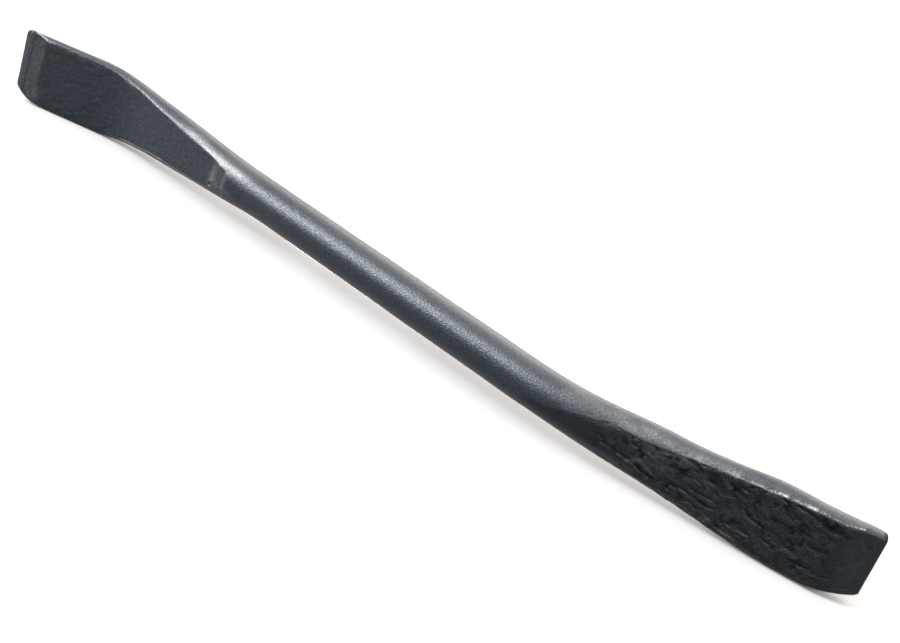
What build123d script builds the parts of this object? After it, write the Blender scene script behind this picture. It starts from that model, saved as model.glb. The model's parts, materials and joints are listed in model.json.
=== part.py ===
from build123d import *
import os
from math import radians, tan

# Pry bar: one steel forging, a round shaft flattened into a spoon blade at each end,
# with a paper label stuck under the shaft.
# Millimetres. +X runs from the thin chisel blade to the thick lipped blade, +Z is up.
# The bar rests on the lower edges of its two blades. Inside the sub-part functions the
# shaft axis is the X axis; place() sets the finished parts on the floor.

OVERALL_LENGTH = 386.4
TIP = OVERALL_LENGTH / 2
SHAFT_RADIUS = 8.0
ROUND_END = 62.0               # |x| where the shaft stops being round, both ends
ROUND_JOIN = 6.0               # length of round bar that each blade brings with it

# Chisel blade, at the -X end. Depths are y positions, the front being -Y.
# The press left two small ledges where its flat starts, as (|x|, depth).
CHISEL_LEDGES = ((80.8, -9.4), (83.2, -8.62), (85.6, -8.7), (88.2, -7.95))
CHISEL_BEND_AT = (146.5, -6.1)       # where the blade bends forward
CHISEL_BEND = 24.1                   # degrees
CHISEL_BACK_ENTRY = (62.0, 8.0)
CHISEL_BACK_WAIST = (89.0, 4.6)
CHISEL_BACK_BEND_AT = (143.6, 1.35)
CHISEL_BEND_RADIUS = 57.0
CHISEL_BLADE = 5.1                   # blade thickness at the tip, along y
CHISEL_HEEL = 11.8                   # length of the bevelled tip
CHISEL_NOSE = 5.0                    # length of its last facet
CHISEL_HEEL_DROP = 1.8               # how far the bevel falls behind the face
CHISEL_NOSE_DROP = 3.5
CHISEL_BACK_TIP = (9.0, 1.2)         # the back of the tip turns back: length, amount
CHISEL_END_SKEW = 1.1                # the lower corner of the tip is this much shorter

# Lipped blade, at the +X end.
LIP_FACE_AT = (98.0, -4.2)     # a point of the flat, near where it leaves the round
LIP_FACE_RUNUP = 22.0          # the flat's plane is cut from this far before that point
LIP_FACE_LEAN = 14.8           # degrees
LIP_BACK_ENTRY = (87.0, 8.1)
LIP_BACK_LEAN = 8.7
LIP_BACK_KNEE_AT = 146.0
LIP_BACK_BLADE_LEAN = 12.4
LIP_LENGTH = 12.0              # the flicked lip at the very end
LIP_FRONT_LEAN = 28.0
LIP_REAR_LEAN = 24.0
LIP_END_LEAN = 2.6
LIP_THROAT_RADIUS = 14.0

# Side walls: an ellipse at each station, given as
# (|x|, half width, half depth, y of its centre).
CHISEL_STATIONS = (
    (78.0, 8.6, 7.9, -1.1),
    (90.0, 9.2, 7.7, -1.8),
    (103.0, 10.1, 7.5, -1.9),
    (117.0, 11.1, 7.5, -2.0),
    (128.0, 11.7, 7.4, -2.4),
    (136.0, 12.4, 7.2, -2.9),
    (144.0, 13.3, 6.9, -3.9),
    (152.0, 14.4, 6.6, -6.0),
    (160.0, 15.1, 6.2, -9.2),
    (168.0, 15.0, 5.8, -13.0),
    (177.0, 14.9, 5.5, -17.3),
    (187.0, 14.7, 5.3, -21.8),
    (197.0, 14.5, 5.1, -26.2),
)
LIP_STATIONS = (
    (83.0, 8.2, 7.6, 0.6),
    (98.0, 8.9, 7.3, 2.7),
    (113.0, 9.8, 7.2, 6.0),
    (128.0, 10.6, 7.0, 8.9),
    (143.0, 12.0, 6.8, 12.0),
    (156.0, 13.4, 6.8, 15.4),
    (168.0, 13.9, 7.2, 18.3),
    (180.0, 14.0, 7.8, 21.6),
    (196.0, 13.9, 8.4, 28.0),
)

# Corners of the blade ends seen square to the flats: length and height of each rounding
# and the half width it starts from.
CHISEL_TOP_CORNER = (5.0, 3.2)
CHISEL_LOW_CORNER = (18.0, 5.0)
CHISEL_CORNER_START = 14.8
LIP_TOP_CORNER = (7.5, 3.8)
LIP_LOW_CORNER = (30.0, 7.2)
LIP_CORNER_START = 14.1
LOW_CORNER_PULL = 0.36         # where the low roundings turn, as a part of their length

# Paper label under the shaft.
LABEL_START = -46.0
LABEL_LENGTH = 66.0
LABEL_THICKNESS = 0.15
LABEL_WRAP = 96.0              # degrees the paper covers round the shaft
LABEL_MIDDLE = 20.0            # degrees its middle sits behind straight down
LABEL_SKEW = 4.0               # degrees it turns back over its length

# How the bar sits on the floor.
REST_TILT = 0.21               # degrees, the chisel blade being the wider one
AXIS_HEIGHT = 14.16            # of the shaft axis, half way along
AXIS_Y = -2.78                 # puts the middle of the bar's overall width at y = 0

BACK_RADIUS = 160.0            # where the back of either blade leaves the round
SPAN = 60.0                    # half size of the blocks used for cutting


def slope(degrees):
    return tan(radians(degrees))


def corner(face, point):
    """The vertex of a flat face nearest to a point given in the face's own axes."""
    return face.vertices().sort_by_distance(Vector(*point))[0]


def side_walls(stations, side):
    """Round shaft end drawn out through the elliptical stations of one blade."""
    rounds = tuple((x, SHAFT_RADIUS, SHAFT_RADIUS, 0) for x in (ROUND_END - ROUND_JOIN, ROUND_END))
    sections = []
    for x, half_width, half_depth, centre in rounds + stations:
        where = Plane(origin=(side * x, centre, 0), x_dir=(0, 1, 0), z_dir=(1, 0, 0))
        sections.append(where * Ellipse(half_depth, half_width))
    if side < 0:
        sections.reverse()
    return loft(sections)


def chisel_side_view():
    """Thickness profile of the chisel blade in the XY plane."""
    bend_x, bend_y = CHISEL_BEND_AT
    heel = TIP - CHISEL_HEEL
    nose = TIP - CHISEL_NOSE

    def face_y(x):
        return bend_y - (x - bend_x) * slope(CHISEL_BEND)

    back_tip_y = face_y(TIP) + CHISEL_BLADE
    back_slope = (CHISEL_BACK_BEND_AT[1] - back_tip_y) / (TIP - CHISEL_BACK_BEND_AT[0])
    outline = [(0, -SPAN), (CHISEL_LEDGES[0][0], -SPAN)]
    outline += CHISEL_LEDGES
    outline += [
        CHISEL_BEND_AT,
        (heel, face_y(heel)),
        (nose, face_y(nose) + CHISEL_HEEL_DROP),
        (TIP, face_y(TIP) + CHISEL_NOSE_DROP),
        (TIP, back_tip_y + CHISEL_BACK_TIP[1]),
        (TIP - CHISEL_BACK_TIP[0], back_tip_y + CHISEL_BACK_TIP[0] * back_slope),
        CHISEL_BACK_BEND_AT,
        CHISEL_BACK_WAIST,
        CHISEL_BACK_ENTRY,
        (0, CHISEL_BACK_ENTRY[1]),
    ]
    face = make_face(Polyline(*outline, close=True))
    face = fillet(corner(face, CHISEL_BEND_AT), CHISEL_BEND_RADIUS)
    face = fillet(corner(face, CHISEL_BACK_BEND_AT), CHISEL_BEND_RADIUS)
    face = fillet(corner(face, CHISEL_BACK_WAIST), BACK_RADIUS)
    face = fillet(corner(face, CHISEL_BACK_ENTRY), BACK_RADIUS)
    return mirror(face, about=Plane.YZ)


def lip_side_view():
    """Thickness profile of the lipped blade in the XY plane."""
    def face_y(x):
        return LIP_FACE_AT[1] + (x - LIP_FACE_AT[0]) * slope(LIP_FACE_LEAN)

    start = LIP_FACE_AT[0] - LIP_FACE_RUNUP
    lip = TIP - LIP_LENGTH
    knee_y = LIP_BACK_ENTRY[1] + (LIP_BACK_KNEE_AT - LIP_BACK_ENTRY[0]) * slope(LIP_BACK_LEAN)
    back_lip_y = knee_y + (lip - LIP_BACK_KNEE_AT) * slope(LIP_BACK_BLADE_LEAN)
    back_end_y = back_lip_y + (LIP_LENGTH - LIP_END_LEAN) * slope(LIP_REAR_LEAN)
    outline = [
        (0, -SPAN),
        (start, -SPAN),
        (start, face_y(start)),
        (lip, face_y(lip)),
        (TIP, face_y(lip) + LIP_LENGTH * slope(LIP_FRONT_LEAN)),
        (TIP - LIP_END_LEAN, back_end_y),
        (lip, back_lip_y),
        (LIP_BACK_KNEE_AT, knee_y),
        LIP_BACK_ENTRY,
        (0, LIP_BACK_ENTRY[1]),
    ]
    face = make_face(Polyline(*outline, close=True))
    face = fillet(corner(face, (lip, face_y(lip))), LIP_THROAT_RADIUS)
    face = fillet(corner(face, (lip, back_lip_y)), LIP_THROAT_RADIUS)
    face = fillet(corner(face, (LIP_BACK_KNEE_AT, knee_y)), BACK_RADIUS)
    face = fillet(corner(face, LIP_BACK_ENTRY), BACK_RADIUS)
    return face


def end_view(start, top, low, skew):
    """Outline of a blade end seen square to its flats, the end itself toward +X."""
    low_end = TIP - skew
    pull = low[0] * LOW_CORNER_PULL
    edges = [
        Polyline((0, -SPAN), (0, SPAN), (TIP - top[0], SPAN), (TIP - top[0], start)),
        Bezier((TIP - top[0], start), (TIP, start), (TIP, start - top[1])),
        Line((TIP, start - top[1]), (low_end, low[1] - start)),
        Bezier((low_end, low[1] - start), (TIP - pull, -start), (TIP - low[0], -start)),
        Polyline((TIP - low[0], -start), (TIP - low[0], -SPAN), (0, -SPAN)),
    ]
    return make_face(Curve() + edges)


def blade(side, stations, side_view, end_outline):
    """One drawn-out end of the bar: side walls cut to thickness and to its end shape."""
    thickness = extrude(side_view, SPAN, both=True)
    outline = extrude(Plane.XZ * end_outline, SPAN, both=True)
    return side_walls(stations, side) & thickness & outline


def place(part):
    """Set a part built round the shaft axis on the floor."""
    return Pos(0, AXIS_Y, AXIS_HEIGHT) * Rot(0, REST_TILT, 0) * part


def forged_bar():
    shaft = Rot(0, 90, 0) * Cylinder(SHAFT_RADIUS, 2 * (ROUND_END - ROUND_JOIN))
    chisel_end = end_view(CHISEL_CORNER_START, CHISEL_TOP_CORNER, CHISEL_LOW_CORNER, CHISEL_END_SKEW)
    lip_end = end_view(LIP_CORNER_START, LIP_TOP_CORNER, LIP_LOW_CORNER, 0)
    chisel = blade(-1, CHISEL_STATIONS, chisel_side_view(), mirror(chisel_end, about=Plane.YZ))
    lipped = blade(1, LIP_STATIONS, lip_side_view(), lip_end)
    bar = shaft + chisel + lipped
    above_floor = Pos(0, 0, SPAN) * Box(2 * OVERALL_LENGTH, 2 * SPAN, 2 * SPAN)
    return place(bar) & above_floor


def label():
    """Paper sheet bent round the underside of the shaft."""
    paper = Cylinder(SHAFT_RADIUS + LABEL_THICKNESS, LABEL_LENGTH)
    paper -= Cylinder(SHAFT_RADIUS, LABEL_LENGTH)
    reach = 2 * SHAFT_RADIUS
    half = reach * slope(LABEL_WRAP / 2)
    window = make_face(Polyline((0, 0), (reach, -half), (reach, half), close=True))
    low_window = Pos(0, 0, -LABEL_LENGTH / 2) * window
    high_window = Pos(0, 0, LABEL_LENGTH / 2) * Rot(0, 0, LABEL_SKEW) * window
    sheet = paper & loft([low_window, high_window])
    along = Pos(LABEL_START + LABEL_LENGTH / 2, 0, 0) * Rot(LABEL_MIDDLE, 0, 0) * Rot(0, 90, 0)
    return place(along * sheet)


os.makedirs("parts", exist_ok=True)
export_step(forged_bar(), "parts/forged_bar.step")
export_step(label(), "parts/label.step")
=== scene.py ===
# Looks of the pry bar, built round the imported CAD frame. Mesh code works in millimetres in the
# bar's own axes, as the CAD source does: the shaft's axis is X, the front is -Y and the top is +Z.
# place() sets its points on the floor, in metres. side is -1 for the chisel blade, 1 for the lip.
import json
from math import cos, radians, sin, tan

import bpy
import numpy as np
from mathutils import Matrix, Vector

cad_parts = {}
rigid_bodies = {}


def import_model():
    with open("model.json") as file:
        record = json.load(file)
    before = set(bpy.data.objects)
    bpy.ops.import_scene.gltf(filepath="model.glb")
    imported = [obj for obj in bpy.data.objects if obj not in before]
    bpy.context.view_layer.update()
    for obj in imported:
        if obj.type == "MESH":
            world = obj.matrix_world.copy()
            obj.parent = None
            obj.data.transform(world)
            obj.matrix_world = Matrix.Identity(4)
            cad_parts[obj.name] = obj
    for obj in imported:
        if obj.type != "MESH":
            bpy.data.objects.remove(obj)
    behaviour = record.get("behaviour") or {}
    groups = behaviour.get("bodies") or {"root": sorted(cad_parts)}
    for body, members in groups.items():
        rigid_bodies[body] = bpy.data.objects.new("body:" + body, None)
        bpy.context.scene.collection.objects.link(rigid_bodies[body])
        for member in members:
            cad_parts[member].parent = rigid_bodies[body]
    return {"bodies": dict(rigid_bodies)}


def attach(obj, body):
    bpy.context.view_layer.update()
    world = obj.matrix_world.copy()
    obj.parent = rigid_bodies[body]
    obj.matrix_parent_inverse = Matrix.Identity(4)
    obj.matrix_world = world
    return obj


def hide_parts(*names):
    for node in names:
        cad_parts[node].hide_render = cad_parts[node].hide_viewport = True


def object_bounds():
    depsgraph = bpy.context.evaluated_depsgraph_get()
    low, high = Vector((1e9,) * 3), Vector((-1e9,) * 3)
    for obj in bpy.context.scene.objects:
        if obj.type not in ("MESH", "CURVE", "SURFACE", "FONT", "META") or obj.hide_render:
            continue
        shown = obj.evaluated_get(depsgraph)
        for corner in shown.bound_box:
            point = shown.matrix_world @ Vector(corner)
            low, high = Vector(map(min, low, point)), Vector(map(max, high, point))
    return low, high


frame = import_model()
cad_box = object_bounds()

# ---------------------------------------------------------------- sizes
# As in the CAD source, apart from the chisel's ledges, the lip's low corner and the label's edges.
TIP = 193.2
SHAFT_RADIUS = 8.0
ROUND_END = 62.0               # |x| where the shaft stops being round
REST_TILT = 0.21               # degrees
AXIS_Y = -2.78
AXIS_HEIGHT = 14.16
BACK_RADIUS = 160.0
BACK_START = (20.0, 8.4)       # both backs run clear of the shaft's surface from here

# Chisel blade. The landing between the two die marks is cut 0.4 mm deeper than in the CAD.
CHISEL_LEDGES = ((70.0, -12.9), (78.6, -9.5), (81.2, -8.20), (84.8, -8.32), (87.4, -7.97))
CHISEL_BEND_AT = (146.5, -6.1)
CHISEL_BEND = 24.1
CHISEL_BEND_RADIUS = 57.0
CHISEL_BACK_ENTRY = (62.0, 8.0)
CHISEL_BACK_WAIST = (89.0, 4.6)
CHISEL_BACK_BEND_AT = (143.6, 1.35)
CHISEL_BLADE = 5.1
CHISEL_HEEL = 11.8
CHISEL_NOSE = 5.0
CHISEL_HEEL_DROP = 1.8
CHISEL_NOSE_DROP = 3.5
CHISEL_BACK_TIP = (9.0, 1.2)

# Lipped blade.
LIP_FACE_AT = (98.0, -4.2)
LIP_FACE_START = 60.0
LIP_FACE_LEAN = 14.8
LIP_BACK_ENTRY = (87.0, 8.1)
LIP_BACK_LEAN = 8.7
LIP_BACK_KNEE_AT = 146.0
LIP_BACK_BLADE_LEAN = 12.4
LIP_LENGTH = 12.0
LIP_FRONT_LEAN = 28.0
LIP_REAR_LEAN = 24.0
LIP_END_LEAN = 2.6             # the end is this much shorter at the back
LIP_END_DEPTH = 4.9            # along y
LIP_THROAT_RADIUS = 14.0

# Side walls: an ellipse at each station, as (|x|, half width, half depth, y of its centre).
# These are not driving sizes. They come from fitting the walls to the bar's outlines, rounded
# to 0.1 mm, as the CAD source's do.
CHISEL_STATIONS = (
    (78.0, 8.6, 7.9, -1.1), (90.0, 9.2, 7.7, -1.8), (103.0, 10.1, 7.5, -1.9),
    (117.0, 11.1, 7.5, -2.0), (128.0, 11.7, 7.4, -2.4), (136.0, 12.4, 7.2, -2.9),
    (144.0, 13.3, 6.9, -3.9), (152.0, 14.4, 6.6, -6.0), (160.0, 15.1, 6.2, -9.2),
    (168.0, 15.0, 5.8, -13.0), (177.0, 14.9, 5.5, -17.3), (187.0, 14.7, 5.3, -21.8),
    (197.0, 14.5, 5.1, -26.2),
)
LIP_STATIONS = (
    (83.0, 8.2, 7.6, 0.6), (98.0, 8.9, 7.3, 2.7), (113.0, 9.8, 7.2, 6.0),
    (128.0, 10.6, 7.0, 8.9), (143.0, 12.0, 6.8, 12.0), (156.0, 13.4, 6.8, 15.4),
    (168.0, 13.9, 7.2, 18.3), (180.0, 14.0, 7.8, 21.6), (196.0, 13.9, 8.4, 28.0),
)

# Corners of the blade ends seen square to the flats: length and height of each rounding
# and the half width it starts from.
CHISEL_TOP_CORNER = (5.0, 3.2)
CHISEL_LOW_CORNER = (18.0, 5.0)
CHISEL_CORNER_START = 14.8
CHISEL_END_SKEW = 1.1
LIP_TOP_CORNER = (7.5, 3.8)
LIP_LOW_CORNER = (30.0, 6.2)   # 1 mm less high than in the CAD
LIP_CORNER_START = 14.1
LOW_CORNER_PULL = 0.36

# Rounding of the ridges: |x| where it starts and where it is full, and its size.
FRONT_EDGE = {-1: (78, 100, 0.7), 1: (84, 120, 0.8)}
BACK_EDGE = {-1: (66, 95, 1.6), 1: (88, 115, 1.8)}
END_EDGE = {-1: 0.8, 1: 1.6}
LEAN_EDGE = 0.5
SHARP_EDGE = 0.05
END_REACH = 40.0               # length in which the end's outline counts

# How far the forging has drawn the top edge up: x, mm.
TOP_FLARE = (
    (-193, 0.2), (-186, 0.0), (-160, 0.15), (-150, 0.3), (-112, 0.3), (-96, 0.5), (-86, 0.4),
    (-76, 0.0), (96, 0.0), (106, 0.2), (120, 0.6), (133, 0.4), (146, 0.45), (160, 0.9),
    (172, 0.65), (186, 1.0), (193, 1.0),
)
# Top edge of the lip blade's flat where it leaves the round: x, z.
LIP_CREASE = ((74, -1.8), (84, -0.2), (96, 3.2), (104, 5.4))

SEED = 20


def slope(degrees):
    return tan(radians(degrees))


# ---------------------------------------------------------------- side views and end outlines
def chisel_face(x):
    return CHISEL_BEND_AT[1] - (x - CHISEL_BEND_AT[0]) * slope(CHISEL_BEND)


def lip_face(x):
    return LIP_FACE_AT[1] + (x - LIP_FACE_AT[0]) * slope(LIP_FACE_LEAN)


def rounded(path):
    """Dense x and y of a path of (x, y, radius), its corners rounded off to their radii."""
    out = []
    for i, (x, y, r) in enumerate(path):
        here = np.array((x, y), float)
        if not r:
            out.append(here)
            continue
        before = np.array(path[i - 1][:2]) - here
        after = np.array(path[i + 1][:2]) - here
        before /= np.hypot(*before)
        after /= np.hypot(*after)
        half = np.arccos(np.clip(before @ after, -1, 1)) / 2
        t = np.linspace(0, 1, 17)[:, None]
        a = here + before * r / np.tan(half)
        b = here + after * r / np.tan(half)
        out.extend((1 - t) ** 2 * a + 2 * t * (1 - t) * here + t ** 2 * b)
    out = np.array(out)
    return out[:, 0], out[:, 1]


def chisel_profiles():
    """Front and back of the chisel blade, seen from above."""
    heel = TIP - CHISEL_HEEL
    nose = TIP - CHISEL_NOSE
    tip_back = chisel_face(TIP) + CHISEL_BLADE
    back_slope = (CHISEL_BACK_BEND_AT[1] - tip_back) / (TIP - CHISEL_BACK_BEND_AT[0])
    front = [(x, y, 0) for x, y in CHISEL_LEDGES]
    front += [
        (*CHISEL_BEND_AT, CHISEL_BEND_RADIUS),
        (heel, chisel_face(heel), 0),
        (nose, chisel_face(nose) + CHISEL_HEEL_DROP, 0),
        (TIP, chisel_face(TIP) + CHISEL_NOSE_DROP, 0),
    ]
    back = [
        (*BACK_START, 0),
        (*CHISEL_BACK_ENTRY, BACK_RADIUS),
        (*CHISEL_BACK_WAIST, BACK_RADIUS),
        (*CHISEL_BACK_BEND_AT, CHISEL_BEND_RADIUS),
        (TIP - CHISEL_BACK_TIP[0], tip_back + CHISEL_BACK_TIP[0] * back_slope, 0),
        (TIP, tip_back + CHISEL_BACK_TIP[1], 0),
    ]
    return rounded(front), rounded(back)


def lip_profiles():
    """Front and back of the lipped blade, seen from above. The back runs past the tip."""
    lip = TIP - LIP_LENGTH
    knee = LIP_BACK_ENTRY[1] + (LIP_BACK_KNEE_AT - LIP_BACK_ENTRY[0]) * slope(LIP_BACK_LEAN)
    back_lip = knee + (lip - LIP_BACK_KNEE_AT) * slope(LIP_BACK_BLADE_LEAN)
    past_tip = 1.0
    front = [
        (LIP_FACE_START, lip_face(LIP_FACE_START), 0),
        (lip, lip_face(lip), LIP_THROAT_RADIUS),
        (TIP, lip_face(lip) + LIP_LENGTH * slope(LIP_FRONT_LEAN), 0),
    ]
    back = [
        (*BACK_START, 0),
        (*LIP_BACK_ENTRY, BACK_RADIUS),
        (LIP_BACK_KNEE_AT, knee, BACK_RADIUS),
        (lip, back_lip, LIP_THROAT_RADIUS),
        (TIP + past_tip, back_lip + (LIP_LENGTH + past_tip) * slope(LIP_REAR_LEAN), 0),
    ]
    return rounded(front), rounded(back)


def along(path, x):
    """Height of a path at x, carried on straight past its ends, and the cosine of its slope."""
    px, py = path
    y = np.interp(x, px, py)
    rise = np.diff(py) / np.diff(px)
    y = y + np.where(x > px[-1], (x - px[-1]) * rise[-1], 0)
    y = y + np.where(x < px[0], (x - px[0]) * rise[0], 0)
    s = rise[np.clip(np.searchsorted(px, x) - 1, 0, len(rise) - 1)]
    return y, 1 / np.sqrt(1 + s * s)


def smooth_table(stations):
    """Cubic spline through the stations: dense |x|, and (half width, half depth, centre)."""
    rounds = [(x, SHAFT_RADIUS, SHAFT_RADIUS, 0) for x in (-10, 50, 56, ROUND_END)]
    rows = np.array(rounds + list(stations), float)
    x, v = rows[:, 0], rows[:, 1:]
    n = len(x)
    h = np.diff(x)[:, None]
    m = np.zeros((n, n))
    rhs = np.zeros((n, 3))
    m[0, 0] = m[-1, -1] = 1
    for i in range(1, n - 1):
        m[i, i - 1:i + 2] = h[i - 1, 0], 2 * (h[i - 1, 0] + h[i, 0]), h[i, 0]
        rhs[i] = 6 * ((v[i + 1] - v[i]) / h[i] - (v[i] - v[i - 1]) / h[i - 1])
    c = np.linalg.solve(m, rhs)
    xs = np.linspace(x[0], x[-1], 1200)
    k = np.clip(np.searchsorted(x, xs) - 1, 0, n - 2)
    a, b, hk = (x[k + 1] - xs)[:, None], (xs - x[k])[:, None], h[k]
    ys = (c[k] * a ** 3 + c[k + 1] * b ** 3) / (6 * hk)
    ys += (v[k] / hk - c[k] * hk / 6) * a + (v[k + 1] / hk - c[k + 1] * hk / 6) * b
    return xs, ys


def outline(start, top, low, skew):
    """Blade end seen square to its flats: points (x, z) from its low side round to its top."""
    t = np.linspace(0, 1, 25)[:, None]
    pull = LOW_CORNER_PULL * low[0]

    def bend(a, b, c):
        a, b, c = (np.array(q, float) for q in (a, b, c))
        return (1 - t) ** 2 * a + 2 * t * (1 - t) * b + t ** 2 * c

    below = bend((TIP - low[0], -start), (TIP - pull, -start), (TIP - skew, low[1] - start))
    above = bend((TIP, start - top[1]), (TIP, start), (TIP - top[0], start))
    return np.concatenate([below, above])


CHISEL_FRONT, CHISEL_BACK = chisel_profiles()
LIP_FRONT, LIP_BACK = lip_profiles()
FRONTS = {-1: CHISEL_FRONT, 1: LIP_FRONT}
BACKS = {-1: CHISEL_BACK, 1: LIP_BACK}
WALLS = {-1: smooth_table(CHISEL_STATIONS), 1: smooth_table(LIP_STATIONS)}
ENDS = {
    -1: outline(CHISEL_CORNER_START, CHISEL_TOP_CORNER, CHISEL_LOW_CORNER, CHISEL_END_SKEW),
    1: outline(LIP_CORNER_START, LIP_TOP_CORNER, LIP_LOW_CORNER, 0.0),
}


# ---------------------------------------------------------------- the smooth bar as a distance
def step(a, b, v):
    t = np.clip((v - a) / (b - a), 0, 1)
    return t * t * (3 - 2 * t)


def bell(distance, width):
    return np.exp(-(distance / width) ** 2)


def smooth_max(a, b, k):
    h = np.maximum(k - np.abs(a - b), 0) / k
    return np.maximum(a, b) + h * h * k / 4


def wall(side, x):
    """Half width, half depth and centre of the side walls' ellipse at |x|."""
    xs, ys = WALLS[side]
    return [np.interp(x, xs, ys[:, i]) for i in range(3)]


def half_chord(side, x, y):
    """Half height of the section at |x|, at a depth y."""
    w, d, c = wall(side, x)
    return w * np.sqrt(np.maximum(1 - ((y - c) / d) ** 2, 0))


def outline_distance(side, x, z):
    """Signed distance outside the end outline of a blade, in the XZ plane."""
    run = 60
    pts = ENDS[side]
    pts = np.concatenate([[(pts[0, 0] - run, pts[0, 1])], pts, [(pts[-1, 0] - run, pts[-1, 1])]])
    best = np.full(x.shape, 1e9)
    sign = np.ones(x.shape)
    for (ax, az), (bx, bz) in zip(pts[:-1], pts[1:]):
        dx, dz = bx - ax, bz - az
        t = np.clip(((x - ax) * dx + (z - az) * dz) / (dx * dx + dz * dz), 0, 1)
        ex, ez = x - ax - t * dx, z - az - t * dz
        d = np.hypot(ex, ez)
        near = d < best
        best = np.where(near, d, best)
        sign = np.where(near, np.where(dz * ex - dx * ez > 0, 1.0, -1.0), sign)
    return best * sign


def solid_side(side, p):
    """Signed distance, near enough, to the smooth bar on one side of the middle."""
    x, y, z = side * p[:, 0], p[:, 1], p[:, 2]
    w, d, c = wall(side, x)
    u, v = (y - c) / d, z / w
    g = np.sqrt(u * u + v * v) + 1e-9
    grad = np.sqrt((u / d) ** 2 + (v / w) ** 2) + 1e-9
    f = g * (g - 1) / grad
    front_y, front_cos = along(FRONTS[side], x)
    back_y, back_cos = along(BACKS[side], x)
    start, full, size = FRONT_EDGE[side]
    f = smooth_max(f, (front_y - y) * front_cos, SHARP_EDGE + size * step(start, full, x))
    start, full, size = BACK_EDGE[side]
    f = smooth_max(f, (y - back_y) * back_cos, SHARP_EDGE + size * step(start, full, x))
    near = x > TIP - END_REACH
    if near.any():
        e = outline_distance(side, x[near], z[near])
        if side > 0:
            tip_y = LIP_FRONT[1][-1]
            n = np.array([LIP_END_DEPTH, LIP_END_LEAN]) / np.hypot(LIP_END_DEPTH, LIP_END_LEAN)
            e = smooth_max(e, (x[near] - TIP) * n[0] + (y[near] - tip_y) * n[1], LEAN_EDGE)
        f[near] = smooth_max(f[near], e, END_EDGE[side])
    return f


def solid(p):
    f = np.empty(len(p))
    left = p[:, 0] < 0
    f[left] = solid_side(-1, p[left])
    f[~left] = solid_side(1, p[~left])
    return f


def gradient(p, h=0.05):
    g = np.empty_like(p)
    for i in range(3):
        d = np.zeros(3)
        d[i] = h
        g[:, i] = (solid(p + d) - solid(p - d)) / (2 * h)
    return g / (np.linalg.norm(g, axis=1, keepdims=True) + 1e-9)


def settle(p, rounds=6):
    """Moves points onto the smooth bar."""
    for _ in range(rounds):
        p = p - gradient(p) * solid(p)[:, None]
    return p


# ---------------------------------------------------------------- structured mesh of the bar
# Each ring runs up the front, back over the top, down the back and forward underneath.
FACE_CELLS = 54                # across either flat
WALL_CELLS = 12                # across either side wall
BACK_FIRST = FACE_CELLS + WALL_CELLS
UNDER_FIRST = BACK_FIRST + FACE_CELLS
RING = UNDER_FIRST + WALL_CELLS
FACE_CLUSTER = 0.35            # how far the cells crowd toward the ridges
WALL_CLUSTER = 0.3
END_ZONE = 45.0                # length over which the rings take up the end's outline
VIRTUAL_RIDGE = 62.0           # degrees from the front, where the shaft's mesh bands meet
# Gap between rings: x, mm.
RING_GAPS = (
    (-TIP, 0.30), (-TIP + 14, 0.36), (-TIP + 20, 0.52), (-92, 0.46), (-76, 0.40),
    (-66, 0.95), (70, 0.95), (96, 0.42), (TIP - 8, 0.42), (TIP, 0.30),
)


def clustered(n, amount):
    t = np.linspace(0, 1, n + 1)
    return t - amount / (2 * np.pi) * np.sin(2 * np.pi * t)


def ring_positions():
    """x of every ring, closer together on the blades and closest at their tips."""
    x = np.linspace(-TIP, TIP, 6001)
    gap = np.interp(x, *zip(*RING_GAPS))
    count = np.concatenate([[0], np.cumsum(0.5 * (1 / gap[1:] + 1 / gap[:-1]) * np.diff(x))])
    n = int(count[-1])
    return np.interp(np.linspace(0, count[-1], n + 1), count, x)


def even(path, n, amount):
    """n cells along a path of 2-D points, crowded toward its ends."""
    length = np.concatenate([[0], np.cumsum(np.hypot(*np.diff(path, axis=0).T))])
    at = clustered(n, amount) * length[-1]
    return np.stack([np.interp(at, length, path[:, i]) for i in (0, 1)], 1)


def section(side, x):
    """Ring of (y, z) round the plain section at |x|."""
    w, d, c = (v[0] for v in wall(side, np.array([x])))
    front_y = max(along(FRONTS[side], np.array([x]))[0][0], c - d)
    back_y = min(along(BACKS[side], np.array([x]))[0][0], c + d)
    middle = (front_y + back_y) / 2

    def ray(angle):
        """Points at angles from straight ahead (-Y), turning toward the top."""
        dy, dz = -np.cos(angle), np.sin(angle)
        a = (dy / d) ** 2 + (dz / w) ** 2
        b = 2 * dy * (middle - c) / d ** 2
        k = ((middle - c) / d) ** 2 - 1
        r = (-b + np.sqrt(b * b - 4 * a * k)) / (2 * a)
        r = np.where(dy < 0, np.minimum(r, (front_y - middle) / np.minimum(dy, -1e-9)), r)
        r = np.where(dy > 0, np.minimum(r, (back_y - middle) / np.maximum(dy, 1e-9)), r)
        return np.stack([middle + r * dy, r * dz], 1)

    def ridge_angle(y):
        chord = half_chord(side, np.array([x]), y)[0]
        return max(np.arctan2(chord, abs(y - middle)), radians(VIRTUAL_RIDGE))

    front, back = ridge_angle(front_y), ridge_angle(back_y)
    bands = (
        (-front, front, FACE_CELLS, FACE_CLUSTER),
        (front, np.pi - back, WALL_CELLS, WALL_CLUSTER),
        (np.pi - back, np.pi + back, FACE_CELLS, FACE_CLUSTER),
        (np.pi + back, 2 * np.pi - front, WALL_CELLS, WALL_CLUSTER),
    )
    return np.concatenate([even(ray(np.linspace(a, b, 721)), n, amount)[:-1]
                           for a, b, n, amount in bands])


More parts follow.
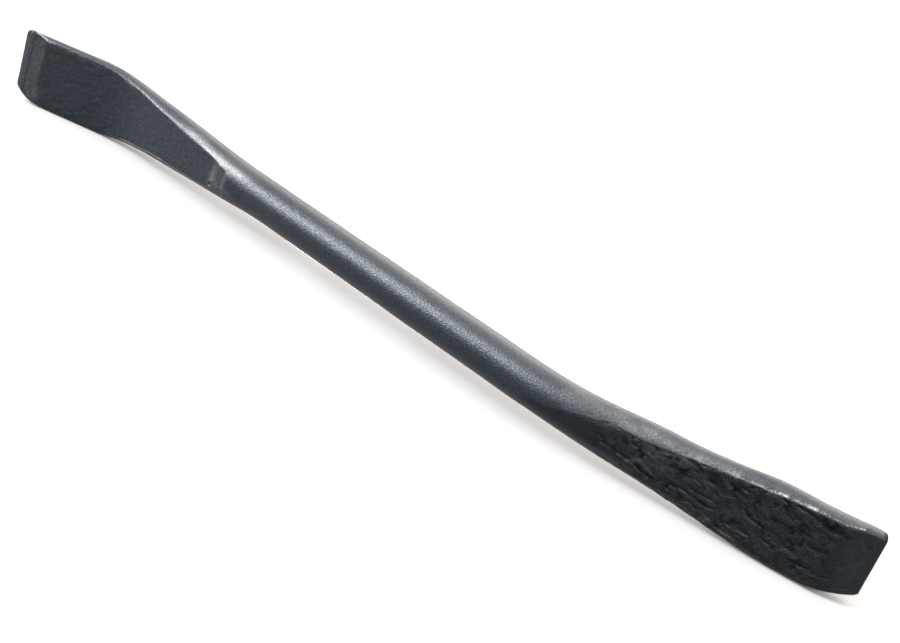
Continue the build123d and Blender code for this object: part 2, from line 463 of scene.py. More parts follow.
def end_ring(side):
    """|x| of a blade's last ring, and where its front's points stand from bottom to top."""
    front, height = even(ENDS[side], FACE_CELLS, FACE_CLUSTER).T
    back = np.minimum(front, TIP - LIP_END_LEAN) if side > 0 else front
    t = clustered(WALL_CELLS, WALL_CLUSTER)
    top = front[-1] + (back[-1] - front[-1]) * t
    under = back[0] + (front[0] - back[0]) * t
    ring_x = np.concatenate([front[:-1], top[:-1], back[:0:-1], under[:-1]])
    return ring_x, height / abs(height[0])


def blade_ring(side, x, end_x, end_share):
    """Ring of an end zone, which takes up the shape of the end as |x| nears the tip."""
    start = TIP - END_ZONE
    t = (x - start) / END_ZONE
    ring_x = start + (end_x - start) * t
    plain = section(side, x)[:FACE_CELLS + 1, 1]
    plain_share = plain / abs(plain[0])
    share = plain_share + (end_share - plain_share) * t
    ring = np.empty((RING, 3))
    ring[:, 0] = side * ring_x
    for first, path, across in ((0, FRONTS[side], share), (BACK_FIRST, BACKS[side], share[::-1])):
        ids = np.arange(first, first + FACE_CELLS + 1)
        y = along(path, ring_x[ids])[0]
        ring[ids, 1] = y
        ring[ids, 2] = across * half_chord(side, ring_x[ids], y)
    for first in (FACE_CELLS, UNDER_FIRST):
        a, b = ring[first], ring[(first + WALL_CELLS) % RING]
        ids = np.arange(first + 1, first + WALL_CELLS)
        y = a[1] + (b[1] - a[1]) * clustered(WALL_CELLS, WALL_CLUSTER)[1:-1]
        ring[ids, 1] = y
        ring[ids, 2] = half_chord(side, ring_x[ids], y) * np.sign(a[2])
    return ring


def end_cap(ring, first, base):
    """Grid that closes an end: its inner points, numbered from base, and its quads."""
    walls = np.arange(WALL_CELLS + 1)
    grid = np.zeros((WALL_CELLS + 1, FACE_CELLS + 1), int)
    grid[0] = np.arange(FACE_CELLS + 1)
    grid[-1] = np.arange(UNDER_FIRST, BACK_FIRST - 1, -1)
    grid[:, -1] = FACE_CELLS + walls
    grid[:, 0] = (RING - walls) % RING
    t = clustered(WALL_CELLS, WALL_CLUSTER)[1:-1, None, None]
    front, back = ring[grid[0, 1:-1]], ring[grid[-1, 1:-1]]
    points = (front + (back - front) * t).reshape(-1, 3)
    grid += first
    grid[1:-1, 1:-1] = base + np.arange(len(points)).reshape(WALL_CELLS - 1, -1)
    quads = np.stack([grid[:-1, :-1], grid[:-1, 1:], grid[1:, 1:], grid[1:, :-1]], -1)
    return points, quads.reshape(-1, 4)


def bar_mesh():
    """Points and quads of the bar, and the number of its rings, whose points come first."""
    ends = {side: end_ring(side) for side in (-1, 1)}
    xs = ring_positions()
    rings = np.empty((len(xs), RING, 3))
    for i, x in enumerate(xs):
        side = 1 if x >= 0 else -1
        if abs(x) > TIP - END_ZONE:
            rings[i] = blade_ring(side, abs(x), *ends[side])
        else:
            rings[i, :, 0] = x
            rings[i, :, 1:] = section(side, abs(x))
    ids = np.arange(len(xs) * RING).reshape(-1, RING)
    after = np.roll(ids, -1, axis=1)
    quads = [np.stack([ids[:-1], after[:-1], after[1:], ids[1:]], -1).reshape(-1, 4)]
    points = [rings.reshape(-1, 3)]
    count = ids.size
    for side, end in ((-1, 0), (1, -1)):
        inner, cap = end_cap(rings[end], ids[end, 0], count)
        points.append(inner)
        quads.append(cap[:, ::side])
        count += len(inner)
    return np.concatenate(points), np.concatenate(quads), len(xs)


def place(p):
    """Bar axes in mm to the frame's axes in metres, never past the CAD's box."""
    t = radians(REST_TILT)
    x = p[:, 0] * cos(t) + p[:, 2] * sin(t)
    z = -p[:, 0] * sin(t) + p[:, 2] * cos(t)
    out = np.stack([x, p[:, 1] + AXIS_Y, z + AXIS_HEIGHT], 1) / 1000
    low, high = np.array(cad_box)
    return np.clip(out, low, high)


def make_object(name, verts, quads, values):
    """Object with smooth quads and one number at each vertex for each named value."""
    mesh = bpy.data.meshes.new(name)
    mesh.vertices.add(len(verts))
    mesh.vertices.foreach_set("co", verts.astype(np.float32).ravel())
    mesh.loops.add(quads.size)
    mesh.loops.foreach_set("vertex_index", quads.astype(np.int32).ravel())
    mesh.polygons.add(len(quads))
    mesh.polygons.foreach_set("loop_start", np.arange(0, quads.size, 4, dtype=np.int32))
    mesh.update(calc_edges=True)
    mesh.validate()
    mesh.shade_smooth()
    for key, numbers in values.items():
        attribute = mesh.attributes.new(key, "FLOAT", "POINT")
        attribute.data.foreach_set("value", numbers.astype(np.float32))
    obj = bpy.data.objects.new(name, mesh)
    bpy.context.scene.collection.objects.link(obj)
    return obj


# ---------------------------------------------------------------- relief of the forged surface
# Folds and dents of the lip blade's flat: width, depth, and points (x, z) in bar axes.
FOLDS = (
    (0.42, 0.34, ((160.5, 11.2), (164.5, 9.0), (167.1, 7.4), (170.0, 6.3), (172.8, 5.6), (174.4, 6.1))),
    (0.80, 0.40, ((166.5, 11.0), (170.7, 10.4), (175.0, 9.6), (179.3, 8.9), (183.6, 9.4))),
    (0.55, 0.30, ((102.0, 0.4), (104.4, -0.1))),
    (0.50, 0.28, ((102.5, -2.2), (105.5, -1.6), (108.0, -1.7))),
    (0.60, 0.34, ((110.0, -2.4), (114.5, -2.7))),
    (0.70, 0.38, ((113.0, 3.3), (115.0, 2.5))),
    (0.50, 0.26, ((116.0, 1.6), (120.0, 1.3))),
    (0.75, 0.42, ((116.5, -3.2), (119.5, -4.3), (123.5, -4.6))),
    (0.55, 0.34, ((126.5, -2.2), (130.5, -3.0), (135.7, -3.4))),
    (0.45, 0.26, ((127.0, -4.8), (131.0, -5.2))),
    (0.50, 0.30, ((134.0, -1.0), (138.5, -1.6), (143.0, -1.2))),
    (0.50, 0.30, ((136.5, -3.6), (141.0, -4.2), (145.5, -3.6))),
    (0.55, 0.30, ((133.0, 5.4), (136.0, 4.6))),
    (0.55, 0.32, ((139.0, 4.2), (142.0, 4.0))),
    (0.50, 0.30, ((142.0, 1.8), (145.5, 0.2))),
    (0.70, 0.36, ((148.5, 7.6), (152.0, 7.2))),
    (0.50, 0.28, ((146.5, 6.3), (149.0, 5.6))),
    (0.75, 0.40, ((152.5, 1.2), (155.5, -0.6))),
    (0.55, 0.32, ((155.5, -0.6), (160.0, -1.3), (165.0, -1.4))),
    (0.75, 0.36, ((160.8, 3.2), (162.6, 2.6))),
    (0.60, 0.30, ((164.5, 3.4), (167.8, 3.0))),
    (0.90, 0.36, ((173.5, 1.4), (176.5, 0.8), (180.0, 1.6))),
    (0.60, 0.30, ((147.0, -5.8), (151.0, -6.4))),
    (0.60, 0.32, ((153.5, -5.6), (157.5, -6.2))),
    (0.55, 0.30, ((160.5, -5.0), (165.5, -5.4))),
    (0.50, 0.28, ((168.0, -3.4), (173.0, -3.8))),
    (0.50, 0.28, ((170.0, -6.6), (176.5, -6.9))),
    (0.40, 0.30, ((182.6, -0.8), (185.4, 0.0))),
    (0.40, 0.28, ((182.0, -4.6), (184.8, -3.8))),
    (0.40, 0.28, ((181.2, -7.0), (184.0, -6.2))),
    (0.70, 0.30, ((189.0, 9.6), (189.6, 9.0))),
    (0.70, 0.30, ((188.2, -7.4), (188.9, -7.8))),
    (0.60, 0.26, ((140.4, -8.3), (143.6, -8.6))),
    (0.50, 0.26, ((176.0, 7.2), (179.0, 6.4))),
)# Pits of the chisel end and the shaft: radius, depth, x, z.
PITS = (
    (0.70, 0.42, -87.0, -4.1), (0.30, 0.18, -82.3, -4.1), (0.30, 0.16, -78.4, -4.9),
    (0.34, 0.22, -66.0, -4.4), (0.30, 0.20, -64.6, -4.7), (0.28, 0.16, -63.0, -4.2),
    (0.30, 0.14, -56.5, -5.6), (0.26, 0.12, -50.0, -5.2), (0.30, 0.14, 66.0, -3.0),
)# Lighter patches on the front: x, z, half sizes along x and z, strength. Most are scuffed paint; on the chisel tip's two facets (x -191 to -181) they are painted light, as if lit from the left, and the lip's end facet (x 188) is a little lighter.
SCUFFS_AND_LIT_FACETS = (
    (-84.3, -0.8, 4.6, 6.4, 0.36), (-86.8, -1.0, 1.5, 5.8, 0.62), (-80.2, -1.2, 1.6, 5.6, 0.52),
    (-77.5, -3.6, 3.0, 1.6, 0.30), (-185.0, 0.0, 3.0, 14.0, 0.16), (-191.0, 0.0, 2.2, 14.0, 0.20),
    (-182.4, 6.2, 0.9, 3.4, 0.30), (-181.2, -9.5, 1.6, 3.6, 0.26), (129.5, 6.0, 4.5, 2.6, 0.16),
    (122.0, 2.8, 8.0, 3.8, 0.10), (143.5, -8.4, 2.2, 1.0, 0.30), (-64.6, -4.6, 1.6, 0.8, 0.40),
    (104.0, -5.6, 14.0, 1.0, 0.12), (188.0, 0.0, 5.0, 14.0, 0.06),
)# Bands along the ridges: x from, x to, amount. WEAR and BARE are rubbed paint and bare steel, the SHEEN bands a painted sheen of glints, and TOP_HIGHLIGHT_BAND a painted highlight.
TOP_WEAR = ((142, 189, 1.0), (-187, -181, 1.0), (-181, -150, 0.4), (-150, -84, 0.6))
LOW_WEAR = ((96, 150, 0.6), (-150, -90, 0.6))
# Painted sheen: glinting flecks near the top ridges, standing in for the highlight on the walls.
LIP_SHEEN = ((84, 156, 0.45),)
CHISEL_SHEEN = ((-108, -96, 0.8), (-150, -108, 0.40))
TOP_BARE = ((-191, -180, 1.6), (150, 187, 0.85))
LOW_BARE = ((-140, -96, 0.55), (148, 152, 0.6))
# Painted highlight: lighter paint beside the top ridges and on the chisel's root, where the key light's
# highlight falls.
TOP_HIGHLIGHT_BAND = ((86, 150, 0.60), (150, 186, 0.30), (-112, -96, 0.60))
SPAN_FADE = 4                  # mm over which each of those comes and goes, either way
BEVEL_SEAM = -188.3            # x of the line between the two facets of the chisel's tip
SHOULDER_SLANT = 0.64          # z of the normal where a painted highlight is put on the chisel blade's root


def lattice(i, j, k, seed):
    """Random value from 0 to 1 for whole-number lattice points."""
    h = i.astype(np.uint32) * np.uint32(0x8DA6B343) ^ j.astype(np.uint32) * np.uint32(0xD8163841)
    h = h ^ k.astype(np.uint32) * np.uint32(0xCB1AB31F) ^ np.uint32(seed * 2654435 + 12345)
    h = (h ^ (h >> np.uint32(15))) * np.uint32(0x2C1B3C6D)
    h = (h ^ (h >> np.uint32(12))) * np.uint32(0x297A2D39)
    return ((h ^ (h >> np.uint32(15))) & np.uint32(0xFFFFFF)) / float(0xFFFFFF)


def noise(p, size, seed):
    """Smooth noise from -1 to 1. size is one length in mm, or one for each axis."""
    q = p / np.asarray(size, float) + 100.0
    cell = np.floor(q).astype(np.int64)
    f = q - cell
    f = f * f * f * (f * (f * 6 - 15) + 10)
    total = 0
    for corner in range(8):
        o = np.array([corner & 1, corner >> 1 & 1, corner >> 2 & 1])
        w = np.prod(np.where(o, f, 1 - f), axis=1)
        c = cell + o
        total = total + w * lattice(c[:, 0], c[:, 1], c[:, 2], seed)
    return total * 2 - 1


def fbm(p, size, seed, octaves, gain=0.5):
    """Sum of octaves of noise, each half the size of the one before and gain as strong."""
    size = np.asarray(size, float)
    return sum(gain ** i * noise(p, size / 2 ** i, seed + i) for i in range(octaves))


def turned(p, degrees):
    """Points turned in the XZ plane."""
    c, s = cos(radians(degrees)), sin(radians(degrees))
    return np.stack([p[:, 0] * c + p[:, 2] * s, p[:, 1], p[:, 2] * c - p[:, 0] * s], 1)


def stroke_distance(x, z, points):
    """Distance from a polyline drawn on a flat, and how far along it (0 to 1)."""
    best, share = np.full(x.shape, 1e9), np.zeros(x.shape)
    n = len(points) - 1
    for i, ((ax, az), (bx, bz)) in enumerate(zip(points[:-1], points[1:])):
        dx, dz = bx - ax, bz - az
        t = np.clip(((x - ax) * dx + (z - az) * dz) / (dx * dx + dz * dz), 0, 1)
        d = np.hypot(x - ax - t * dx, z - az - t * dz)
        near = d < best
        best, share = np.where(near, d, best), np.where(near, (i + t) / n, share)
    return best, share


def ridge_band(p, distance, width, spans):
    """Share along a ridge, over spans of (x from, x to, amount): rubbed paint and bare steel, and the
    painted sheen and highlight bands.
    """
    x = p[:, 0]
    amount = np.zeros(x.shape)
    for a, b, strength in spans:
        begun = step(a - SPAN_FADE, a + SPAN_FADE, x)
        ended = step(b - SPAN_FADE, b + SPAN_FADE, x)
        amount = np.maximum(amount, strength * begun * (1 - ended))
    wander = distance + 0.3 * noise(p, 2.6, SEED + 30)
    patchy = 0.75 + 0.45 * noise(p, (5.0, 3.0, 3.0), SEED + 32)
    return bell(wander, width) * amount * patchy


def flat_share(side, p):
    """1 on a blade's front flat, 0 off it, changing over a fraction of a millimetre."""
    x = side * p[:, 0]
    front_y = along(FRONTS[side], x)[0]
    centre = wall(side, x)[2]
    return step(-0.2, 0.3, half_chord(side, x, front_y) - np.abs(p[:, 2])) * (p[:, 1] < centre)


def regions(p, nrm):
    """Shares of the chisel's flat, the lip's flat, its early part on the round, and its crust."""
    x, z = p[:, 0], p[:, 2]
    forward = step(0.3, 0.6, -nrm[:, 1])
    chisel_flat = flat_share(-1, p) * step(84, 90, -x)
    lip_flat = np.maximum(flat_share(1, p), forward * (z < 0)) * step(84, 90, x)
    crease_z = np.interp(x, *zip(*LIP_CREASE))
    early = step(-0.2, 0.2, crease_z - z) * forward * step(70, 76, x)
    lip_flat = np.maximum(lip_flat, early)
    smooth_end = step(178, 185, x + 1.5 * noise(p, 3.5, SEED + 1))
    crust = lip_flat * (1 - smooth_end) * step(92, 116, x)
    return chisel_flat, lip_flat, early, crust


def skin_height(p, chisel_flat, elsewhere):
    """Fine grain and slow swells of the plain surface, and the hammered chisel flat."""
    grain = 0.016 * noise(p, 1.5, SEED + 2) + 0.010 * noise(p, 0.95, SEED + 3)
    grain *= step(72, 84, np.abs(p[:, 0]))
    swell = 0.05 * noise(p, (16, 9, 9), SEED + 4) + 0.012 * noise(p, (5.0, 3.0, 3.0), SEED + 5)
    hammered = 0.075 * fbm(p, (2.0, 3.0, 1.8), SEED + 6, 2)
    return elsewhere * (grain + swell) + chisel_flat * (grain + hammered)


def crust_relief(p):
    """Height of the rolling, creased scale, and painted shade in its creases, dimples and low parts. It
    hardly changes along y.
    """
    drift = np.stack([2.2 * noise(p, 6, SEED + 8), 0 * p[:, 0], 1.3 * noise(p, 5, SEED + 9)], 1)
    bent, crossed = turned(p + drift, 14), turned(p + drift, -24)
    rolling = 0.17 * fbm(crossed, (3.6, 50.0, 2.2), SEED + 10, 2, 0.6)
    crease = np.clip(1 - np.abs(noise(bent, (4.0, 60.0, 1.3), SEED + 14)) / 0.14, 0, 1)
    crease *= step(-0.1, 0.35, noise(crossed, (5.0, 60.0, 3.5), SEED + 15))
    dimple = np.clip(noise(crossed, (1.9, 60.0, 1.3), SEED + 16) - 0.15, 0, 1)
    cut = 0.15 * crease + 0.26 * dimple
    return rolling - cut, cut * 4.6 + 1.2 * np.clip(-rolling, 0, 1)


def fold_relief(p):
    """Depth of the folds and dents, and the height of the metal thrown up beside them."""
    x, z = p[:, 0], p[:, 2] + 0.25 * noise(p, 1.6, SEED + 17)
    stroke, thrown = np.zeros(x.shape), np.zeros(x.shape)
    for width, depth, points in FOLDS:
        d, share = stroke_distance(x, z, points)
        w = width * (0.45 + 0.55 * np.sin(np.pi * np.clip(share, 0.02, 0.98)))
        stroke = np.maximum(stroke, 0.8 * depth * bell(d, w))
        thrown = np.maximum(thrown, 0.22 * depth * bell(d - 1.9 * w, 0.8 * w))
    return stroke, thrown


def pit_relief(p, facing):
    """Height of the pits, each with a low rim, and painted shade in them."""
    height, shade = np.zeros(len(p)), np.zeros(len(p))
    for radius, depth, x, z in PITS:
        d = np.hypot(p[:, 0] - x, p[:, 2] - z)
        pit = facing * bell(d, radius)
        rim = facing * bell(d - 2 * radius, 0.7 * radius)
        height += 0.35 * depth * rim - 1.3 * depth * pit
        shade = np.maximum(shade, pit)
    return height, shade


def ragged_edge(p, top_ridge, low_ridge):
    """Depth of the chipped edges of the lip blade, and painted shade in the chips."""
    near = bell(np.minimum(top_ridge, low_ridge), 0.8) * step(105, 145, p[:, 0])
    depth = 0.24 * near * step(0.0, 0.6, noise(p, (1.3, 1.0, 1.0), SEED + 31))
    return depth, 0.40 * near * step(0.1, 0.6, noise(p, (1.5, 1.0, 1.0), SEED + 35))


def bare_share(p, top_ridge, low_ridge):
    """Share of bare steel along the ridges, broken up on the lip blade's top."""
    bare = ridge_band(p, top_ridge, 0.38, TOP_BARE)
    broken = step(-0.1, 0.5, noise(p, (2.4, 2.0, 2.0), SEED + 36))
    bare *= np.where(p[:, 0] > 0, broken, 1)
    return np.maximum(bare, ridge_band(p, low_ridge, 0.40, LOW_BARE))


def wear_and_sheen_share(p, top_ridge, low_ridge, elsewhere, root_highlight):
    """Share of flecks: paint rubbed off along the ridges, a painted sheen of glints beside the top
    ones, and a painted highlight on the chisel blade's root.
    """
    wear_and_painted_sheen = ridge_band(p, top_ridge, 0.75, TOP_WEAR)
    wear_and_painted_sheen = np.maximum(wear_and_painted_sheen, ridge_band(p, low_ridge, 0.7, LOW_WEAR))
    # Painted sheen of glints beside the top ridges.
    sheen = ridge_band(p, top_ridge, 3.0, LIP_SHEEN)
    sheen = np.maximum(sheen, ridge_band(p, top_ridge, 1.7, CHISEL_SHEEN))
    return np.maximum.reduce([wear_and_painted_sheen, elsewhere * sheen, 0.85 * elsewhere * root_highlight])


def scuff_and_light_share(p, top_ridge, elsewhere, facing, root_highlight):
    """Share of lighter paint: scuffs, and painted light on the chisel tip's facets, beside the top
    ridges and on the chisel blade's root.
    """
    scuff_and_painted_light = np.zeros(len(p))
    for x, z, half_x, half_z, strength in SCUFFS_AND_LIT_FACETS:
        d = ((p[:, 0] - x) / half_x) ** 2 + ((p[:, 2] - z) / half_z) ** 2
        scuff_and_painted_light = np.maximum(scuff_and_painted_light, facing * strength * bell(d, 1))
    scuff_and_painted_light *= 0.8 + 0.4 * noise(p, (1.2, 1.2, 2.0), SEED + 33)
    # Painted highlight band beside the top ridges.
    highlight_band = ridge_band(p, top_ridge, 2.4, TOP_HIGHLIGHT_BAND)
    return np.maximum.reduce([scuff_and_painted_light, elsewhere * highlight_band, 0.8 * elsewhere * root_highlight])


def relief(p, nrm, top_ridge, low_ridge):
    """Height of the surface above the smooth bar in mm, and the shares that colour it, painted shade
    and painted highlights among them.
    """
    x = p[:, 0]
    facing = nrm[:, 1] < 0
    chisel_flat, lip_flat, early, crust = regions(p, nrm)
    elsewhere = 1 - np.maximum(lip_flat, chisel_flat)
    # Painted highlight on the chisel blade's root, picked out by the slant of the normal.
    root_highlight = facing * bell(nrm[:, 2] - SHOULDER_SLANT, 0.17)
    root_highlight *= step(-108, -94, x) * (1 - step(-78, -62, x))

    crust_height, crust_shade = crust_relief(p)
    stroke, thrown = np.zeros(len(p)), np.zeros(len(p))
    on_lip = lip_flat > 0
    stroke[on_lip], thrown[on_lip] = fold_relief(p[on_lip])
    pit_height, pit_shade = pit_relief(p, facing)
    chip_depth, chip_shade = ragged_edge(p, top_ridge, low_ridge)
    early_ledge = 0.10 * early * (1 - step(92, 100, x))
    # Painted shade: a dark line along the seam between the chisel tip's facets.
    seam_shade = bell(x - BEVEL_SEAM + 0.25 * noise(p, 4.0, SEED + 34), 0.45) * chisel_flat

    height = skin_height(p, chisel_flat, elsewhere) + crust * crust_height - early_ledge
    height += lip_flat * (thrown - stroke) + pit_height - chip_depth
    # Painted shade in the crust's creases and low parts and in the folds; the pits, chips and seam are
    # added below.
    hollow_shade = crust * crust_shade + 2.6 * stroke
    shares = {
        "wear_and_painted_sheen": wear_and_sheen_share(p, top_ridge, low_ridge, elsewhere, root_highlight),
        "bare": bare_share(p, top_ridge, low_ridge),
        "scuff_and_painted_light": scuff_and_light_share(p, top_ridge, elsewhere, facing, root_highlight),
        "hollow_shade": np.maximum.reduce([hollow_shade, pit_shade, chip_shade, 0.6 * seam_shade]),
        "black": lip_flat,
        "crust": crust,
        "flat": chisel_flat,
    }
    return height, {name: np.clip(share, 0, 1) for name, share in shares.items()}


def ridge_distance(points, ring_count, column):
    """Distance of each point from its own ring's point in a column. The caps' are far away."""
    rings = points[:ring_count * RING].reshape(ring_count, RING, 3)
    distance = np.full(len(points), 99.0)
    distance[:ring_count * RING] = np.linalg.norm(rings - rings[:, column:column + 1], axis=2).ravel()
    return distance


def build_bar():
    points, quads, ring_count = bar_mesh()
    points = settle(points)
    points[:, 2] += np.interp(points[:, 0], *zip(*TOP_FLARE)) * step(0, 12, points[:, 2])
    normals = gradient(points)
    top_ridge = ridge_distance(points, ring_count, FACE_CELLS)
    low_ridge = ridge_distance(points, ring_count, 0)
    height, shares = relief(points, normals, top_ridge, low_ridge)
    return make_object("bar", place(points + normals * height[:, None]), quads, shares)


# ---------------------------------------------------------------- label
LABEL_START, LABEL_END = -46.0, 20.0
LABEL_FRONT = (24.0, 15.0)     # degrees from straight down to its front edge, at either end
LABEL_BACK = (-72.0, -76.0)
LABEL_OUTER = SHAFT_RADIUS + 0.14
LABEL_INNER = SHAFT_RADIUS - 0.30      # the sheet's inner side is sunk in the bar, out of sight
LABEL_ROWS = 66
LABEL_COLUMNS = 30


def build_label():
    """Closed sheet of paper bent round the underside of the shaft."""
    t, s = np.meshgrid(np.linspace(0, 1, LABEL_ROWS + 1), np.linspace(0, 1, LABEL_COLUMNS + 1),
                       indexing="ij")
    front = LABEL_FRONT[0] + (LABEL_FRONT[1] - LABEL_FRONT[0]) * t
    back = LABEL_BACK[0] + (LABEL_BACK[1] - LABEL_BACK[0]) * t
    turn = np.radians(front + (back - front) * s)
    x = LABEL_START + (LABEL_END - LABEL_START) * t
    sheets = [np.stack([x, -r * np.sin(turn), -r * np.cos(turn)], -1).reshape(-1, 3)
              for r in (LABEL_OUTER, LABEL_INNER)]
    ids = np.arange(t.size).reshape(t.shape)
    cells = np.stack([ids[:-1, :-1], ids[:-1, 1:], ids[1:, 1:], ids[1:, :-1]], -1).reshape(-1, 4)
    rim = np.concatenate([ids[0, :-1], ids[:-1, -1], ids[-1, :0:-1], ids[:0:-1, 0]])
    after = np.roll(rim, -1)
    edge = np.stack([after, rim, rim + t.size, after + t.size], 1)
    quads = np.concatenate([cells, cells[:, ::-1] + t.size, edge])
    place_in_sheet = {"along_sheet": np.tile(t.ravel(), 2), "across_sheet": np.tile(s.ravel(), 2)}
    return make_object("printed_label", place(np.concatenate(sheets)), quads, place_in_sheet)


# ---------------------------------------------------------------- materials
class Nodes:
    """A Principled material with short names for adding and joining its nodes."""

    def __init__(self, name):
        self.material = bpy.data.materials.new(name)
        self.material.use_nodes = True
        self.tree = self.material.node_tree
        self.bsdf = self.tree.nodes["Principled BSDF"]

    def add(self, kind, inputs=None, **settings):
        node = self.tree.nodes.new(kind)
        for key, value in settings.items():
            setattr(node, key, value)
        for key, value in (inputs or {}).items():
            self.put(node.inputs[key], value)
        return node

    def put(self, socket, value):
        if isinstance(value, bpy.types.NodeSocket):
            self.tree.links.new(value, socket)
        else:
            socket.default_value = value

    def surface(self, **inputs):
        """Sets the shader's inputs. Their names are given with _ for each space."""
        for key, value in inputs.items():
            self.put(self.bsdf.inputs[key.replace("_", " ")], value)

    def noise(self, scale, detail=2.0, roughness=0.5, where=None):
        where = where or self.add("ShaderNodeTexCoord").outputs["Object"]
        return self.add("ShaderNodeTexNoise", {"Vector": where, "Scale": scale, "Detail": detail,
                                               "Roughness": roughness}).outputs["Fac"]

    def remap(self, value, a, b, c, d):
        return self.add("ShaderNodeMapRange", {"Value": value, "From Min": a, "From Max": b,
                                               "To Min": c, "To Max": d}).outputs["Result"]

    def mix(self, factor, a, b):
        """Colour a where the factor is 0 and b where it is 1."""
        node = self.add("ShaderNodeMix", data_type="RGBA")
        self.put(node.inputs[0], factor)
        self.put(node.inputs[6], a)
        self.put(node.inputs[7], b)
        return node.outputs[2]

    def math(self, operation, *values):
        node = self.add("ShaderNodeMath", operation=operation)
        for socket, value in zip(node.inputs, values):
            self.put(socket, value)
        return node.outputs[0]

    def attribute(self, name):
        return self.add("ShaderNodeAttribute", attribute_name=name).outputs["Fac"]

    def bump(self, height, strength, distance):
        return self.add("ShaderNodeBump", {"Height": height, "Strength": strength,
                                           "Distance": distance}).outputs["Normal"]


PAINT = ((0.0006, 0.0016, 0.0031, 1), (0.0013, 0.0026, 0.0043, 1))
BLACK_SCALE = ((0.0001, 0.0003, 0.0006, 1), (0.0003, 0.0007, 0.0012, 1))
SPECK = (0.010, 0.012, 0.015, 1)
# Lighter paint for scuffs, and for painted light.
THIN_PAINT_AND_HIGHLIGHT = (0.030, 0.031, 0.033, 1)
# Painted shade in the hollows.
HOLLOW_SHADE = (0.0002, 0.0002, 0.0002, 1)
# Flecks of rubbed paint, and painted glints.
FLECK_AND_GLINT = (0.078, 0.079, 0.082, 1)
BARE_STEEL = (0.17, 0.17, 0.175, 1)
NO_TINT = (0, 0, 0, 1)
PAINT_TINT = (0.90, 0.96, 1.0, 1)
BLACK_TINT = (0.80, 0.91, 1.0, 1)


def paint_colour(m):
    """Mottled paint with specks, black scale, scuffs, bare steel, and painted light: shade in the
    hollows, lighter facets and highlight bands, and glinting flecks.
    """
    mottle = m.remap(m.noise(260, 3, 0.6), 0.35, 0.65, 0, 1)
    speck = m.remap(m.noise(1500, 2, 0.6), 0.40, 0.66, 0, 1)
    colour = m.mix(m.math("MULTIPLY", speck, 0.24), m.mix(mottle, *PAINT), SPECK)
    colour = m.mix(m.attribute("black"), colour, m.mix(mottle, *BLACK_SCALE))
    patches = m.remap(m.noise(1100, 3, 0.6), 0.35, 0.6, 0.6, 1.3)
    # Lighter paint: scuffs, and painted light on the tip's facets and the highlight bands.
    colour = m.mix(m.math("MULTIPLY", m.attribute("scuff_and_painted_light"), patches), colour, THIN_PAINT_AND_HIGHLIGHT)
    # Painted shade in the hollows.
    colour = m.mix(m.attribute("hollow_shade"), colour, HOLLOW_SHADE)
    # Bright flecks: rubbed paint, and painted glints where the sheen and highlight are.
    worn_and_glint = m.math("ADD", m.noise(2500, 2, 0.7), m.math("MULTIPLY", m.attribute("wear_and_painted_sheen"), 0.36))
    colour = m.mix(m.remap(worn_and_glint, 0.70, 0.86, 0, 1), colour, FLECK_AND_GLINT)
    broken = m.remap(m.noise(1200, 2, 0.6), 0.36, 0.56, 0, 1)
    return m.mix(m.math("MULTIPLY", m.attribute("bare"), broken), colour, BARE_STEEL)


def paint_tint(m):
    """Colour of the reflections: grainy, bluer on the black scale and almost none in hollows, as
    painted shade.
    """
    shaded = m.math("SUBTRACT", 1.0, m.math("MULTIPLY", m.attribute("hollow_shade"), 0.8))
    grain = m.remap(m.noise(2300, 2, 0.7), 0.36, 0.64, 0.45, 1.0)
    tint = m.mix(m.attribute("black"), PAINT_TINT, BLACK_TINT)
    return m.mix(m.math("MULTIPLY", shaded, grain), NO_TINT, tint)


def paint_rise(m):
    """Fine texture: grain all over, a hammered chisel flat and slanting scale on the crust."""
    rise = m.math("ADD", m.noise(2100, 2, 0.6), m.math("MULTIPLY", m.noise(1000, 2, 0.5), 0.7))
    hammered = m.math("MULTIPLY", m.noise(480, 3, 0.6), m.attribute("flat"))
    rise = m.math("ADD", rise, m.math("MULTIPLY", hammered, 2.8))
    slanted = m.add("ShaderNodeMapping", {"Vector": m.add("ShaderNodeTexCoord").outputs["Object"],
                                          "Rotation": (0.0, radians(12), 0.0),
                                          "Scale": (0.5, 1.0, 1.4)}).outputs["Vector"]
    scale = m.math("MULTIPLY", m.noise(860, 4, 0.65, slanted), m.attribute("crust"))
    return m.math("ADD", rise, m.math("MULTIPLY", scale, 2.2))


def paint_material():
    m = Nodes("blue_black_paint")
    m.surface(
        Base_Color=paint_colour(m),
        Roughness=m.remap(m.noise(900, 3, 0.6), 0.3, 0.7, 0.27, 0.38),
        Specular_Tint=paint_tint(m),
        Specular_IOR_Level=0.22,
        Normal=m.bump(paint_rise(m), 1.0, 0.00014),
    )
    return m.material


PAPER = ((0.74, 0.74, 0.73, 1), (0.84, 0.84, 0.83, 1))
RED_INK = (0.62, 0.13, 0.17, 1)
BLUE_INK = (0.13, 0.22, 0.52, 1)
GREY_INK = (0.34, 0.34, 0.35, 1)
RULE_COUNT = 14.0


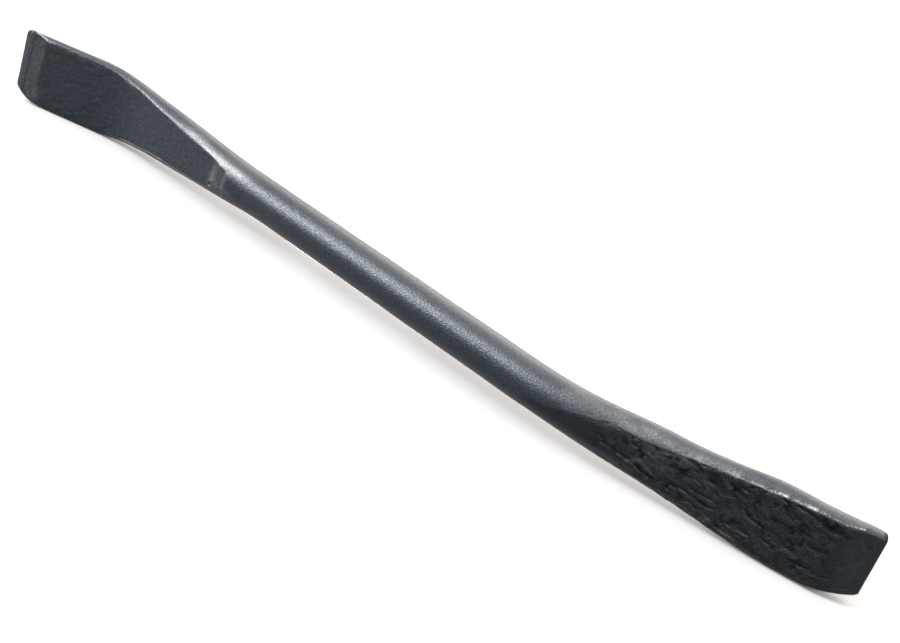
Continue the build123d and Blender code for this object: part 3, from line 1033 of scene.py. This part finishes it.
def paper_material():
    """White printed paper: two plain colour blocks and a few thin grey rules, no lettering."""
    m = Nodes("label_paper")
    along_sheet, across_sheet = m.attribute("along_sheet"), m.attribute("across_sheet")

    def band(value, a, b):
        above = m.math("GREATER_THAN", value, a)
        return m.math("MULTIPLY", above, m.math("LESS_THAN", value, b))

    def block(length, height):
        return m.math("MULTIPLY", band(along_sheet, *length), band(across_sheet, *height))

    fibre = m.remap(m.noise(2600, 3, 0.6), 0.3, 0.7, 0, 1)
    colour = m.mix(fibre, *PAPER)
    colour = m.mix(block((0.22, 0.36), (0.10, 0.90)), colour, RED_INK)
    colour = m.mix(block((0.40, 0.78), (0.10, 0.34)), colour, BLUE_INK)
    inked = m.math("LESS_THAN", m.math("FRACT", m.math("MULTIPLY", across_sheet, RULE_COUNT)), 0.28)
    rules = m.math("MULTIPLY", inked, block((0.40, 0.95), (0.42, 0.88)))
    m.surface(
        Base_Color=m.mix(rules, colour, GREY_INK),
        Roughness=m.remap(fibre, 0, 1, 0.42, 0.58),
        Normal=m.bump(fibre, 0.4, 0.00003),
    )
    return m.material


# ---------------------------------------------------------------- the two pieces
body = next(iter(frame["bodies"]))

bar = build_bar()
bar.data.materials.append(paint_material())
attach(bar, body)
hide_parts("forged_bar")

label = build_label()
label.data.materials.append(paper_material())
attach(label, body)
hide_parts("label")

# ---------------------------------------------------------------- studio
FLOOR_GREY = (0.155, 0.155, 0.155, 1)
WORLD_STRENGTH = 0.38


def add_floor():
    corners = [(-4, -4, 0), (4, -4, 0), (4, 6, 0), (-4, 6, 0)]
    mesh = bpy.data.meshes.new("floor")
    mesh.from_pydata(corners, [], [(0, 1, 2, 3)])
    obj = bpy.data.objects.new("floor", mesh)
    bpy.context.scene.collection.objects.link(obj)
    white = Nodes("studio_floor")
    white.surface(Base_Color=FLOOR_GREY, Roughness=0.6, Specular_IOR_Level=0.2)
    mesh.materials.append(white.material)
    return obj


def add_world():
    world = bpy.data.worlds.new("studio")
    world.use_nodes = True
    background = world.node_tree.nodes["Background"]
    background.inputs["Color"].default_value = (1, 1, 1, 1)
    background.inputs["Strength"].default_value = WORLD_STRENGTH
    bpy.context.scene.world = world


def add_sun(name, toward, angle, strength, tint):
    """Soft light from one side of the sky. angle is its width in degrees."""
    data = bpy.data.lights.new(name, "SUN")
    data.angle = radians(angle)
    data.energy = strength
    data.color = tint
    obj = bpy.data.objects.new(name, data)
    bpy.context.scene.collection.objects.link(obj)
    obj.rotation_euler = Vector(toward).to_track_quat("Z", "Y").to_euler()


def add_camera():
    """Camera low in front of the bar, rolled so that the bar runs down across the picture."""
    data = bpy.data.cameras.new("photo_view")
    data.lens = 56.34
    data.sensor_width = 36.0
    data.clip_start = 0.01
    obj = bpy.data.objects.new("photo_view", data)
    bpy.context.scene.collection.objects.link(obj)
    obj.location = (0.26833, -0.39569, 0.19975)
    obj.rotation_euler = [radians(a) for a in (66.6515, -20.0652, 39.4086)]
    bpy.context.scene.camera = obj


floor = add_floor()
add_world()
add_sun("key", (-0.657, -0.551, 0.515), 25, 11.8, (0.95, 0.98, 1.04))
add_sun("overhead", (0.13, -0.40, 0.90), 116, 18.5, (1.0, 0.965, 0.93))
add_sun("back", (-0.30, 0.73, 0.61), 56, 4.5, (1.0, 0.96, 0.92))
add_camera()
bpy.context.scene.view_settings.view_transform = "Standard"

bpy.context.view_layer.update()
